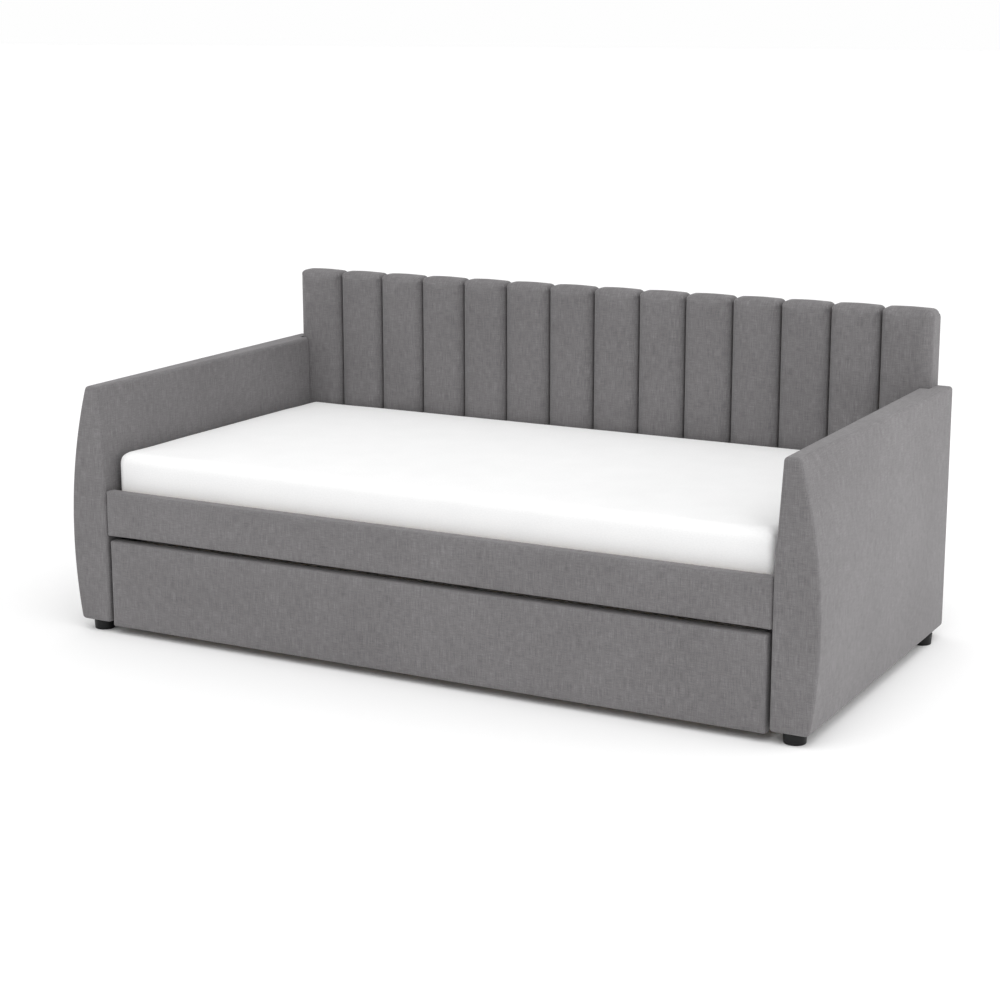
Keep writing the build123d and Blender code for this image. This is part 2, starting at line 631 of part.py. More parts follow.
def trundle_ledgers():
    """Battens along the front board and the rear board, between the corner blocks."""
    half = TRUNDLE_SIDE_IN - BLOCK_WIDTH
    low = TRUNDLE_SLAT_LOW - TRUNDLE_LEDGER_HEIGHT
    front = block(-half, half, PANEL_REAR, PANEL_REAR + LEDGER_THICK, low, TRUNDLE_SLAT_LOW)
    rear = block(-half, half, TRUNDLE_BACK_IN - LEDGER_THICK, TRUNDLE_BACK_IN, low, TRUNDLE_SLAT_LOW)
    return [front, rear]


def caster_screws(sign, y, clearance=0.0):
    """Four screws that hold one caster to its block."""
    screws = []
    for dx in (-CASTER_SCREW_X, CASTER_SCREW_X):
        for dy in (-CASTER_SCREW_Y, CASTER_SCREW_Y):
            start = (sign * WHEEL_X + dx, y + dy, BLOCK_LOW - FORK_THICK)
            screws.append(screw(start, (0, 0, 1), CASTER_SCREW_LENGTH, clearance))
    return screws


def corner_block(sign, y):
    """Beech block in a corner of the trundle, which carries a caster."""
    x = sign * WHEEL_X
    half_x = BLOCK_WIDTH / 2
    half_y = BLOCK_LENGTH / 2
    wood = block(x - half_x, x + half_x, y - half_y, y + half_y, BLOCK_LOW, TRUNDLE_SLAT_LOW)
    return cut_all(wood, caster_screws(sign, y, BOLT_HOLE))


def caster_bracket(sign, y):
    """Bent steel fork with a flat mounting plate and two cheeks."""
    x = sign * WHEEL_X
    inner = WHEEL_WIDTH / 2 + FORK_GAP
    top = BLOCK_LOW
    plate = block(x - PLATE_WIDTH / 2, x + PLATE_WIDTH / 2, y - PLATE_LENGTH / 2, y + PLATE_LENGTH / 2,
                  top - FORK_THICK, top)
    shape = plate
    for side in (-1, 1):
        near = x + side * inner
        far = near + side * FORK_THICK
        xs = sorted((near, far))
        low = WHEEL_RADIUS - FORK_WIDTH / 3
        cheek = block(xs[0], xs[1], y - FORK_WIDTH / 2, y + FORK_WIDTH / 2, low, top - FORK_THICK)
        cheek = fillet(cheek.edges().filter_by(Axis.X).group_by(Axis.Z)[0], FORK_WIDTH / 4)
        shape = shape + cheek
    reach = inner + 2 * FORK_THICK
    bore = rod((x - reach, y, WHEEL_RADIUS), (1, 0, 0), AXLE_RADIUS + AXLE_PLAY, 2 * reach)
    return cut_all(shape - bore, caster_screws(sign, y, BOLT_HOLE))


def axle(sign, y):
    """Riveted axle pin with a head at each end."""
    x = sign * WHEEL_X
    reach = WHEEL_WIDTH / 2 + FORK_GAP + FORK_THICK
    pin = rod((x - reach, y, WHEEL_RADIUS), (1, 0, 0), AXLE_RADIUS, 2 * reach)
    for side in (-1, 1):
        start = (x + side * reach, y, WHEEL_RADIUS)
        pin = pin + rod(start, (side, 0, 0), AXLE_HEAD_RADIUS, AXLE_HEAD)
    return pin


def wheel(sign, y):
    """Caster wheel with rounded shoulders, a hub face and a running bore."""
    x = sign * WHEEL_X
    start = (x - WHEEL_WIDTH / 2, y, WHEEL_RADIUS)
    tyre = rod(start, (1, 0, 0), WHEEL_RADIUS, WHEEL_WIDTH)
    rims = tyre.edges().filter_by(GeomType.CIRCLE)
    tyre = fillet(rims, WHEEL_EDGE)
    dish = WHEEL_RADIUS - 2 * WHEEL_EDGE
    for side in (-1, 1):
        face = (x + side * WHEEL_WIDTH / 2, y, WHEEL_RADIUS)
        ring = rod(face, (-side, 0, 0), dish, TREAD_DEPTH) - rod(face, (-side, 0, 0), dish / 2, TREAD_DEPTH)
        tyre = tyre - ring
    return tyre - rod(start, (1, 0, 0), AXLE_RADIUS + AXLE_PLAY, WHEEL_WIDTH)


def write_trundle():
    """The roll-out bed: padded front, frame, slats, mattress and casters."""
    cover, board = trundle_front()
    save("trundle_front_cover", [cover])
    save("trundle_front_board", [board])
    save("trundle_sides", both_sides(trundle_side()))
    save("trundle_rear_board", [trundle_rear_board()])
    save("trundle_ledgers", trundle_ledgers())
    save("trundle_confirmat_screws", [one for each in confirmat_screws() for one in both_sides(each)])
    half = TRUNDLE_SIDE_IN - BLOCK_WIDTH
    y0 = PANEL_REAR + SLAT_PLAY
    y1 = TRUNDLE_BACK_IN - SLAT_PLAY
    save("trundle_slats", slat_row(half, SLAT_WIDTH, y0, y1, TRUNDLE_SLAT_LOW, TRUNDLE_SLAT_TOP))
    low = TRUNDLE_SLAT_TOP + MATTRESS_SINK
    lower_bed = mattress(
        TRUNDLE_HALF - TRUNDLE_MATTRESS_INSET,
        PANEL_REAR + TRUNDLE_MATTRESS_PLAY,
        TRUNDLE_BACK_IN - TRUNDLE_MATTRESS_PLAY,
        low,
        RAIL_LOW - TRUNDLE_HEADROOM,
        MATTRESS_EDGE,
    )
    save("trundle_mattress", [lower_bed])
    save("trundle_corner_blocks", [corner_block(sign, y) for sign, y in CORNERS.values()])
    save("caster_brackets", [caster_bracket(sign, y) for sign, y in CORNERS.values()])
    save("caster_axles", [axle(sign, y) for sign, y in CORNERS.values()])
    save("caster_screws", [one for sign, y in CORNERS.values() for one in caster_screws(sign, y)])
    for name, (sign, y) in CORNERS.items():
        save(f"{name}_wheel", [wheel(sign, y)])


write_arms()
write_feet()
write_front_rail()
write_bed_base()
write_brackets()
write_back()
write_trundle()
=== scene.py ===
import logging
import math
from dataclasses import dataclass, field
from enum import Enum
from typing import Callable, Iterable

import bmesh
import bpy
import numpy as np
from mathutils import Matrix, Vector, noise


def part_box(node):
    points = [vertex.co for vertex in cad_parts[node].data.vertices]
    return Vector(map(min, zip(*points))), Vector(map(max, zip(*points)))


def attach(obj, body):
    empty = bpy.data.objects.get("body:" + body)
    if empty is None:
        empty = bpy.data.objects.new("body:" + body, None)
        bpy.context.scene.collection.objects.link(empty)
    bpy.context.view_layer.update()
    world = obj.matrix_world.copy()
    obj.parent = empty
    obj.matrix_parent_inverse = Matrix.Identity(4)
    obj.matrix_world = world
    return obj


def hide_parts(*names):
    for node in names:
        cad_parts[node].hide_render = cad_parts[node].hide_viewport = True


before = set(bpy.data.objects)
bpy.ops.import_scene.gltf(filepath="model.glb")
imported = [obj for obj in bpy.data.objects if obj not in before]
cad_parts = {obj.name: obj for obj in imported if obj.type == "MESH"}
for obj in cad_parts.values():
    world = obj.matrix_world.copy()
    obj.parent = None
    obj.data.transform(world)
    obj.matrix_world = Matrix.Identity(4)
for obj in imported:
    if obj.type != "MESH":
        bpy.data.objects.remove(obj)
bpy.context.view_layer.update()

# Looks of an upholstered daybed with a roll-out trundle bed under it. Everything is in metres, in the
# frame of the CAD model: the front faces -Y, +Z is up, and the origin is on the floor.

MM = 0.001
LOG = logging.getLogger("daybed")

# Two faces that turn more than this meet in a sharp edge.
SHARP = math.radians(50)
# How near a point must be to a face of its piece to lie on it.
RIM = 1 * MM
SIMULATED_FRAMES = 20

# A UV map has no third direction, so a pattern on it is drawn very long that way.
FLAT_MM = 1000.0

Place = Callable[[Vector], bool]
Choice = Callable[[Vector, Vector], bool]


class Axis(Enum):
    """The three directions of the object's frame."""

    ACROSS = 0
    DEPTH = 1
    UP = 2


# ---------------------------------------------------------------- shader helpers
def srgb(code: str) -> tuple[float, float, float, float]:
    """Turns an sRGB hex colour into the linear colour that a shader takes.

    Args:
        code: the colour as "#rrggbb".

    Returns:
        Linear red, green, blue and an alpha of 1.
    """
    parts = [int(code[i : i + 2], 16) / 255 for i in (1, 3, 5)]
    linear = [c / 12.92 if c <= 0.04045 else ((c + 0.055) / 1.055) ** 2.4 for c in parts]
    return (linear[0], linear[1], linear[2], 1.0)


def add_node(
    tree: bpy.types.NodeTree,
    kind: str,
    inputs: dict | None = None,
    stops: dict[float, str] | None = None,
    **settings: object,
) -> bpy.types.Node:
    """Adds one node with its settings, its socket values and its links.

    Args:
        tree: the material's node tree.
        kind: the node's type.
        inputs: socket name or number to a value, or to the output socket that is linked to it.
        stops: for a colour ramp, position to sRGB hex colour, in rising order.
        **settings: properties of the node.

    Returns:
        The new node.
    """
    node = tree.nodes.new(kind)
    for name, value in settings.items():
        setattr(node, name, value)
    if stops:
        elements = node.color_ramp.elements
        while len(elements) < len(stops):
            elements.new(0.5)
        for element, (position, code) in zip(elements, stops.items()):
            element.position = position
            element.color = srgb(code)
    for name, value in (inputs or {}).items():
        if isinstance(value, bpy.types.NodeSocket):
            tree.links.new(value, node.inputs[name])
        else:
            node.inputs[name].default_value = value
    return node


def new_material(name: str) -> tuple[bpy.types.Material, bpy.types.NodeTree]:
    """Makes an empty node material.

    Args:
        name: the material's name.

    Returns:
        The material and its emptied node tree.
    """
    material = bpy.data.materials.new(name)
    material.use_nodes = True
    material.node_tree.nodes.clear()
    return material, material.node_tree


def streaks(
    tree: bpy.types.NodeTree,
    vector: bpy.types.NodeSocket,
    sizes_mm: tuple[float, float, float],
    detail: float = 2.0,
) -> bpy.types.NodeSocket:
    """Noise whose blotches have a given size in millimetres along each axis.

    Args:
        tree: the material's node tree.
        vector: coordinates in metres.
        sizes_mm: blotch length along each coordinate.
        detail: octaves of finer noise.

    Returns:
        A value socket from 0 to 1.
    """
    scale = tuple(1.0 / (size * MM) for size in sizes_mm)
    mapped = add_node(tree, "ShaderNodeMapping", {"Vector": vector, "Scale": scale})
    cloud = add_node(
        tree,
        "ShaderNodeTexNoise",
        {"Vector": mapped.outputs[0], "Scale": 1.0, "Detail": detail, "Roughness": 0.55},
    )
    return cloud.outputs["Fac"]


# ---------------------------------------------------------------- finishes
@dataclass(frozen=True)
class WovenCloth:
    """Polyester cloth with a linen look, plain woven from uneven yarn over foam.

    The uneven yarn gives thin slubs both ways, a dry matt face, and a pale fuzz at grazing angles.
    """

    name: str = "woven_polyester_linen_look"
    shade: str = "#716f70"
    light: str = "#8b898a"
    dark: str = "#5b595a"
    # Real yarn is about 0.7 mm wide; it is drawn coarser so that a slub still shows from across a room.
    yarn_mm: float = 1.9
    weft_slub_mm: float = 27.0
    warp_slub_mm: float = 38.0
    mottle_mm: float = 16.0
    nap_mm: float = 230.0
    # How much each layer adds to the warp: weft, loose fibres, mottle and brushed nap.
    weights: tuple[float, float, float, float] = (0.8, 0.9, 0.35, 0.35)
    darkest: float = 1.15
    lightest: float = 2.25

    def build(self) -> bpy.types.Material:
        """Builds the node material and returns it."""
        material, tree = new_material(self.name)
        cloth = add_node(tree, "ShaderNodeUVMap", uv_map="cloth").outputs[0]
        place = add_node(tree, "ShaderNodeTexCoord").outputs["Object"]
        weft = streaks(tree, cloth, (self.weft_slub_mm, self.yarn_mm, FLAT_MM))
        warp = streaks(tree, cloth, (self.yarn_mm, self.warp_slub_mm, FLAT_MM))
        fuzz = streaks(tree, cloth, (self.yarn_mm * 0.8, self.yarn_mm * 0.8, FLAT_MM), 1.0)
        mottle = streaks(tree, cloth, (self.mottle_mm, self.mottle_mm * 1.4, FLAT_MM))
        nap = streaks(tree, place, (self.nap_mm,) * 3)
        total = warp
        for layer, weight in zip((weft, fuzz, mottle, nap), self.weights):
            step = add_node(
                tree, "ShaderNodeMath", {0: layer, 1: weight, 2: total}, operation="MULTIPLY_ADD"
            )
            total = step.outputs[0]
        even = add_node(
            tree,
            "ShaderNodeMapRange",
            {"Value": total, "From Min": self.darkest, "From Max": self.lightest},
        )
        stops = {0.0: self.dark, 0.5: self.shade, 1.0: self.light}
        colour = add_node(tree, "ShaderNodeValToRGB", {"Fac": even.outputs[0]}, stops)
        bump = add_node(
            tree, "ShaderNodeBump", {"Height": even.outputs[0], "Strength": 0.25, "Distance": 0.6 * MM}
        )
        shader = add_node(
            tree,
            "ShaderNodeBsdfPrincipled",
            {
                "Base Color": colour.outputs["Color"],
                "Roughness": 0.92,
                "Specular IOR Level": 0.22,
                "Sheen Weight": 0.28,
                "Sheen Roughness": 0.42,
                "Sheen Tint": srgb("#dcdadb"),
                "Normal": bump.outputs[0],
            },
        )
        add_node(tree, "ShaderNodeOutputMaterial", {"Surface": shader.outputs[0]})
        return material


@dataclass(frozen=True)
class KnittedTicking:
    """White knitted mattress cover: soft, matt, with a fine rib of small stitches."""

    name: str = "white_knitted_ticking"
    light: str = "#f5f5f5"
    dark: str = "#eeeeee"
    stitch_mm: float = 3.0
    drift_mm: float = 120.0

    def build(self) -> bpy.types.Material:
        """Builds the node material and returns it."""
        material, tree = new_material(self.name)
        cloth = add_node(tree, "ShaderNodeUVMap", uv_map="cloth").outputs[0]
        rows = streaks(tree, cloth, (self.stitch_mm * 1.8, self.stitch_mm, FLAT_MM), 1.0)
        drift = streaks(tree, cloth, (self.drift_mm, self.drift_mm, FLAT_MM))
        both = add_node(tree, "ShaderNodeMath", {0: drift, 1: 0.5, 2: rows}, operation="MULTIPLY_ADD")
        even = add_node(
            tree, "ShaderNodeMapRange", {"Value": both.outputs[0], "From Min": 0.45, "From Max": 1.05}
        )
        colour = add_node(
            tree, "ShaderNodeValToRGB", {"Fac": even.outputs[0]}, {0.0: self.dark, 1.0: self.light}
        ).outputs["Color"]
        bump = add_node(tree, "ShaderNodeBump", {"Height": rows, "Strength": 0.16, "Distance": 0.5 * MM})
        shader = add_node(
            tree,
            "ShaderNodeBsdfPrincipled",
            {
                "Base Color": colour,
                "Roughness": 0.85,
                "Specular IOR Level": 0.25,
                "Sheen Weight": 0.12,
                "Sheen Roughness": 0.5,
                "Normal": bump.outputs[0],
            },
        )
        add_node(tree, "ShaderNodeOutputMaterial", {"Surface": shader.outputs[0]})
        return material


@dataclass(frozen=True)
class Timber:
    """Planed softwood or cut board, left bare: long pale grain, darker late wood, a few pores."""

    name: str
    light: str
    dark: str
    along: Axis
    grain_mm: float = 5.0
    grain_length_mm: float = 260.0
    pore_mm: float = 1.2
    pore_length_mm: float = 22.0
    board_mm: float = 60.0
    board_length_mm: float = 700.0
    roughness: float = 0.62

    def sizes(self, wide_mm: float, long_mm: float) -> tuple[float, float, float]:
        """Lays a pattern's long side along the grain.

        Args:
            wide_mm: its size across the grain.
            long_mm: its size along the grain.

        Returns:
            Its size along each axis.
        """
        across, depth, up = (long_mm if axis is self.along else wide_mm for axis in Axis)
        return (across, depth, up)

    def build(self) -> bpy.types.Material:
        """Builds the node material and returns it."""
        material, tree = new_material(self.name)
        place = add_node(tree, "ShaderNodeTexCoord").outputs["Object"]
        rings = streaks(tree, place, self.sizes(self.grain_mm, self.grain_length_mm), 3.0)
        fine = streaks(tree, place, self.sizes(self.pore_mm, self.pore_length_mm), 1.0)
        board = streaks(tree, place, self.sizes(self.board_mm, self.board_length_mm), 1.0)
        total = rings
        for layer, weight in ((fine, 0.3), (board, 0.5)):
            step = add_node(
                tree, "ShaderNodeMath", {0: layer, 1: weight, 2: total}, operation="MULTIPLY_ADD"
            )
            total = step.outputs[0]
        even = add_node(tree, "ShaderNodeMapRange", {"Value": total, "From Min": 0.6, "From Max": 1.2})
        colour = add_node(
            tree, "ShaderNodeValToRGB", {"Fac": even.outputs[0]}, {0.0: self.dark, 1.0: self.light}
        ).outputs["Color"]
        bump = add_node(tree, "ShaderNodeBump", {"Height": fine, "Strength": 0.2, "Distance": 0.3 * MM})
        shader = add_node(
            tree,
            "ShaderNodeBsdfPrincipled",
            {
                "Base Color": colour,
                "Roughness": self.roughness,
                "Specular IOR Level": 0.35,
                "Normal": bump.outputs[0],
            },
        )
        add_node(tree, "ShaderNodeOutputMaterial", {"Surface": shader.outputs[0]})
        return material


@dataclass(frozen=True)
class ZincSteel:
    """Pressed steel with a bright zinc coat, which dulls in small cloudy patches."""

    name: str = "zinc_plated_steel"
    light: str = "#c9ccd0"
    dark: str = "#a9acb1"
    patch_mm: float = 9.0

    def build(self) -> bpy.types.Material:
        """Builds the node material and returns it."""
        material, tree = new_material(self.name)
        place = add_node(tree, "ShaderNodeTexCoord").outputs["Object"]
        patch = streaks(tree, place, (self.patch_mm,) * 3, 3.0)
        colour = add_node(
            tree, "ShaderNodeValToRGB", {"Fac": patch}, {0.25: self.dark, 0.75: self.light}
        ).outputs["Color"]
        rough = add_node(
            tree,
            "ShaderNodeMapRange",
            {"Value": patch, "From Min": 0.3, "From Max": 0.7, "To Min": 0.28, "To Max": 0.46},
        )
        shader = add_node(
            tree,
            "ShaderNodeBsdfPrincipled",
            {"Base Color": colour, "Metallic": 1.0, "Roughness": rough.outputs[0]},
        )
        add_node(tree, "ShaderNodeOutputMaterial", {"Surface": shader.outputs[0]})
        return material


@dataclass(frozen=True)
class MouldedPlastic:
    """Injection-moulded plastic with a fine sparked texture: satin, even, a little dusty."""

    name: str
    light: str
    dark: str
    grit_mm: float = 0.8
    dust_mm: float = 14.0
    roughness: float = 0.42
    gloss: float = 0.3

    def build(self) -> bpy.types.Material:
        """Builds the node material and returns it."""
        material, tree = new_material(self.name)
        place = add_node(tree, "ShaderNodeTexCoord").outputs["Object"]
        grit = streaks(tree, place, (self.grit_mm,) * 3)
        dust = streaks(tree, place, (self.dust_mm,) * 3)
        colour = add_node(
            tree, "ShaderNodeValToRGB", {"Fac": dust}, {0.3: self.dark, 0.8: self.light}
        ).outputs["Color"]
        rough = add_node(
            tree,
            "ShaderNodeMapRange",
            {"Value": dust, "To Min": self.roughness - 0.06, "To Max": self.roughness + 0.1},
        )
        bump = add_node(tree, "ShaderNodeBump", {"Height": grit, "Strength": 0.12, "Distance": 0.1 * MM})
        shader = add_node(
            tree,
            "ShaderNodeBsdfPrincipled",
            {
                "Base Color": colour,
                "Roughness": rough.outputs[0],
                "Specular IOR Level": self.gloss,
                "Normal": bump.outputs[0],
            },
        )
        add_node(tree, "ShaderNodeOutputMaterial", {"Surface": shader.outputs[0]})
        return material


@dataclass(frozen=True)
class ThinCloth:
    """Spun-bonded dust cloth or woven strapping: matt, with a fine crossed texture."""

    name: str
    light: str
    dark: str
    thread_mm: float = 1.6
    run_mm: float = 14.4

    def build(self) -> bpy.types.Material:
        """Builds the node material and returns it."""
        material, tree = new_material(self.name)
        place = add_node(tree, "ShaderNodeTexCoord").outputs["Object"]
        across = streaks(tree, place, (self.thread_mm, self.run_mm, self.run_mm), 1.0)
        along = streaks(tree, place, (self.run_mm, self.thread_mm, self.thread_mm), 1.0)
        both = add_node(tree, "ShaderNodeMath", {0: across, 1: along}, operation="ADD").outputs[0]
        even = add_node(tree, "ShaderNodeMapRange", {"Value": both, "From Min": 0.7, "From Max": 1.3})
        colour = add_node(
            tree, "ShaderNodeValToRGB", {"Fac": even.outputs[0]}, {0.0: self.dark, 1.0: self.light}
        ).outputs["Color"]
        bump = add_node(tree, "ShaderNodeBump", {"Height": both, "Strength": 0.3, "Distance": 0.3 * MM})
        shader = add_node(
            tree,
            "ShaderNodeBsdfPrincipled",
            {
                "Base Color": colour,
                "Roughness": 0.9,
                "Specular IOR Level": 0.25,
                "Normal": bump.outputs[0],
            },
        )
        add_node(tree, "ShaderNodeOutputMaterial", {"Surface": shader.outputs[0]})
        return material


# ---------------------------------------------------------------- modelling helpers
def only(piece: bpy.types.Object) -> None:
    """Makes one object the whole selection and the active object.

    Args:
        piece: the object.
    """
    bpy.ops.object.select_all(action="DESELECT")
    piece.select_set(True)
    bpy.context.view_layer.objects.active = piece


def add_block(name: str, low: Vector, high: Vector) -> bpy.types.Object:
    """Starts a piece as a cube primitive at its size and place.

    Args:
        name: the piece's name.
        low: lowest corner.
        high: highest corner.

    Returns:
        The object, at the origin, with its place in its mesh.
    """
    bpy.ops.object.select_all(action="DESELECT")
    bpy.ops.mesh.primitive_cube_add(size=1.0, location=(low + high) / 2, scale=high - low)
    piece = bpy.context.active_object
    piece.name = name
    piece.data.name = name
    bpy.ops.object.transform_apply(location=True, rotation=True, scale=True)
    return piece


def cut_rings(piece: bpy.types.Object, axis: Axis, cell: float) -> None:
    """Cuts a block into even slices along one axis.

    Args:
        piece: the block.
        axis: direction that is divided.
        cell: length of a slice, about.
    """
    only(piece)
    bpy.ops.object.mode_set(mode="EDIT")
    bpy.ops.mesh.select_mode(type="EDGE")
    bpy.ops.mesh.select_all(action="DESELECT")
    mesh = bmesh.from_edit_mesh(piece.data)
    longest = 0.0
    for edge in mesh.edges:
        span = edge.verts[1].co - edge.verts[0].co
        if abs(span[axis.value]) > 0.99 * span.length:
            edge.select = True
            longest = max(longest, span.length)
    bmesh.update_edit_mesh(piece.data)
    cuts = max(1, round(longest / cell) - 1)
    bpy.ops.mesh.subdivide_edgering(number_cuts=cuts, interpolation="LINEAR")
    bpy.ops.object.mode_set(mode="OBJECT")


def cut_at(piece: bpy.types.Object, axis: Axis, distance: float) -> None:
    """Cuts one more ring through a piece where a plane crosses it.

    Args:
        piece: the piece.
        axis: the plane's normal.
        distance: the plane's place along that axis.
    """
    only(piece)
    bpy.ops.object.mode_set(mode="EDIT")
    bpy.ops.mesh.select_all(action="SELECT")
    point = [0.0, 0.0, 0.0]
    normal = [0.0, 0.0, 0.0]
    point[axis.value] = distance
    normal[axis.value] = 1.0
    bpy.ops.mesh.bisect(plane_co=point, plane_no=normal)
    bpy.ops.object.mode_set(mode="OBJECT")


def pick_faces(piece: bpy.types.Object, chosen: Choice) -> None:
    """Enters edit mode with only the chosen faces selected.

    Args:
        piece: the piece.
        chosen: tells from a face's centre and normal whether it is taken.
    """
    only(piece)
    bpy.ops.object.mode_set(mode="EDIT")
    bpy.ops.mesh.select_mode(type="FACE")
    bpy.ops.mesh.select_all(action="DESELECT")
    mesh = bmesh.from_edit_mesh(piece.data)
    for face in mesh.faces:
        face.select_set(chosen(face.calc_center_median(), face.normal))
    bmesh.update_edit_mesh(piece.data)


def extrude_faces(piece: bpy.types.Object, chosen: Choice, move: Vector) -> None:
    """Pulls the chosen faces out by a distance.

    Args:
        piece: the piece.
        chosen: tells from a face's centre and normal whether it is taken.
        move: how far and where to.
    """
    pick_faces(piece, chosen)
    bpy.ops.mesh.extrude_region_move(TRANSFORM_OT_translate={"value": move})
    bpy.ops.object.mode_set(mode="OBJECT")


def reshape(piece: bpy.types.Object, rule: Callable[[Vector], Vector]) -> None:
    """Moves every point of a piece by a rule, as by hand in sculpting.

    Args:
        piece: the piece.
        rule: gives a point's new place.
    """
    for vertex in piece.data.vertices:
        vertex.co = rule(vertex.co.copy())
    piece.data.update()


def apply_modifier(piece: bpy.types.Object, kind: str, **settings: object) -> None:
    """Adds a modifier with its settings and applies it.

    Args:
        piece: the piece.
        kind: the modifier's type.
        **settings: its properties.
    """
    only(piece)
    modifier = piece.modifiers.new(kind.lower(), kind)
    for name, value in settings.items():
        setattr(modifier, name, value)
    bpy.ops.object.modifier_apply(modifier=modifier.name)


def subdivide(piece: bpy.types.Object) -> None:
    """Smooths a piece with one applied level of subdivision."""
    apply_modifier(piece, "SUBSURF", levels=1, render_levels=1)


def round_edges(piece: bpy.types.Object, chosen: Choice, radius: float, segments: int = 5) -> None:
    """Rounds the chosen edges of a piece.

    Args:
        piece: the piece.
        chosen: tells from an edge's middle and its direction whether it is rounded.
        radius: the rounding's radius.
        segments: faces across the rounding.
    """
    only(piece)
    bpy.ops.object.mode_set(mode="EDIT")
    bpy.ops.mesh.select_mode(type="EDGE")
    bpy.ops.mesh.select_all(action="DESELECT")
    mesh = bmesh.from_edit_mesh(piece.data)
    for edge in mesh.edges:
        first, second = edge.verts[0].co, edge.verts[1].co
        if edge.calc_face_angle(0.0) > SHARP:
            edge.select_set(chosen((first + second) / 2, (second - first).normalized()))
    bmesh.update_edit_mesh(piece.data)
    bpy.ops.mesh.bevel(offset=radius, segments=segments, profile=0.5, clamp_overlap=True)
    bpy.ops.object.mode_set(mode="OBJECT")


def cut_cells(piece: bpy.types.Object, axis: Axis, low: float, high: float, cell: float) -> None:
    """Cuts a piece into cells along one axis, between two places.

    Args:
        piece: the piece.
        axis: direction that is divided.
        low: first cut.
        high: last cut.
        cell: length of a cell, about.
    """
    count = max(1, round((high - low) / cell))
    for index in range(count + 1):
        cut_at(piece, axis, low + (high - low) * index / count)


def puff(piece: bpy.types.Object, cap: float, held: Place, pressure: float) -> None:
    """Blows a padded piece up a little as cloth under pressure, and keeps the result in its mesh.

    Args:
        piece: the closed mesh.
        cap: the most that a point may move.
        held: tells which points are tacked down.
        pressure: the cloth's inner pressure.
    """
    before = [vertex.co.copy() for vertex in piece.data.vertices]
    group = piece.vertex_groups.new(name="held")
    group.add([v.index for v in piece.data.vertices if held(v.co)], 1.0, "REPLACE")
    only(piece)
    modifier = piece.modifiers.new("puff", "CLOTH")
    cloth = modifier.settings
    cloth.quality = 5
    cloth.mass = 0.3
    cloth.use_pressure = True
    cloth.uniform_pressure_force = pressure
    cloth.vertex_group_mass = group.name
    cloth.effector_weights.gravity = 0.0
    modifier.collision_settings.use_collision = False
    modifier.point_cache.frame_start = 1
    modifier.point_cache.frame_end = SIMULATED_FRAMES
    for step in range(1, SIMULATED_FRAMES + 1):
        bpy.context.scene.frame_set(step)
    bpy.ops.object.modifier_apply(modifier=modifier.name)
    bpy.context.scene.frame_set(1)
    for vertex, rest in zip(piece.data.vertices, before):
        move = vertex.co - rest
        if move.length > 1e-7:
            vertex.co = rest + move.normalized() * cap * math.tanh(move.length / cap)
    piece.vertex_groups.clear()


def lay_cloth_map(piece: bpy.types.Object) -> None:
    """Gives a piece a UV map in metres, laid flat on each face from the direction it looks.

    Args:
        piece: the piece.
    """
    mesh = piece.data
    while mesh.uv_layers:
        mesh.uv_layers.remove(mesh.uv_layers[0])
    layer = mesh.uv_layers.new(name="cloth")
    places = np.empty(len(mesh.vertices) * 3, np.float32)
    mesh.vertices.foreach_get("co", places)
    places = places.reshape(-1, 3)
    normals = np.empty(len(mesh.polygons) * 3, np.float32)
    mesh.polygons.foreach_get("normal", normals)
    facing = np.abs(normals.reshape(-1, 3)).argmax(1)
    counts = np.empty(len(mesh.polygons), np.int32)
    mesh.polygons.foreach_get("loop_total", counts)
    corners = np.empty(len(mesh.loops), np.int32)
    mesh.loops.foreach_get("vertex_index", corners)
    facing = np.repeat(facing, counts)
    points = places[corners]
    flat = np.where(
        (facing == Axis.ACROSS.value)[:, None],
        points[:, [1, 2]],
        np.where((facing == Axis.DEPTH.value)[:, None], points[:, [0, 2]], points[:, [0, 1]]),
    )
    layer.data.foreach_set("uv", flat.astype(np.float32).ravel())


def smooth(piece: bpy.types.Object) -> None:
    """Shades a piece smoothly, with creases kept where it turns sharply."""
    only(piece)
    bpy.ops.object.shade_smooth_by_angle(angle=math.radians(60))


def settle(
    piece: bpy.types.Object, body: str, slot: str, material: bpy.types.Material, *nodes: str
) -> None:
    """Dresses a finished piece, hangs it on its body and lets it stand for its CAD nodes.

    Args:
        piece: the finished piece.
        body: the CAD body that it moves with.
        slot: the record's material slot; not used.
        material: its finish.
        *nodes: CAD nodes that it stands for.
    """
    piece.data.materials.clear()
    piece.data.materials.append(material)
    lay_cloth_map(piece)
    smooth(piece)
    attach(piece, body)
    if nodes:
        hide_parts(*nodes)
    LOG.info("%s: %d faces", piece.name, len(piece.data.polygons))


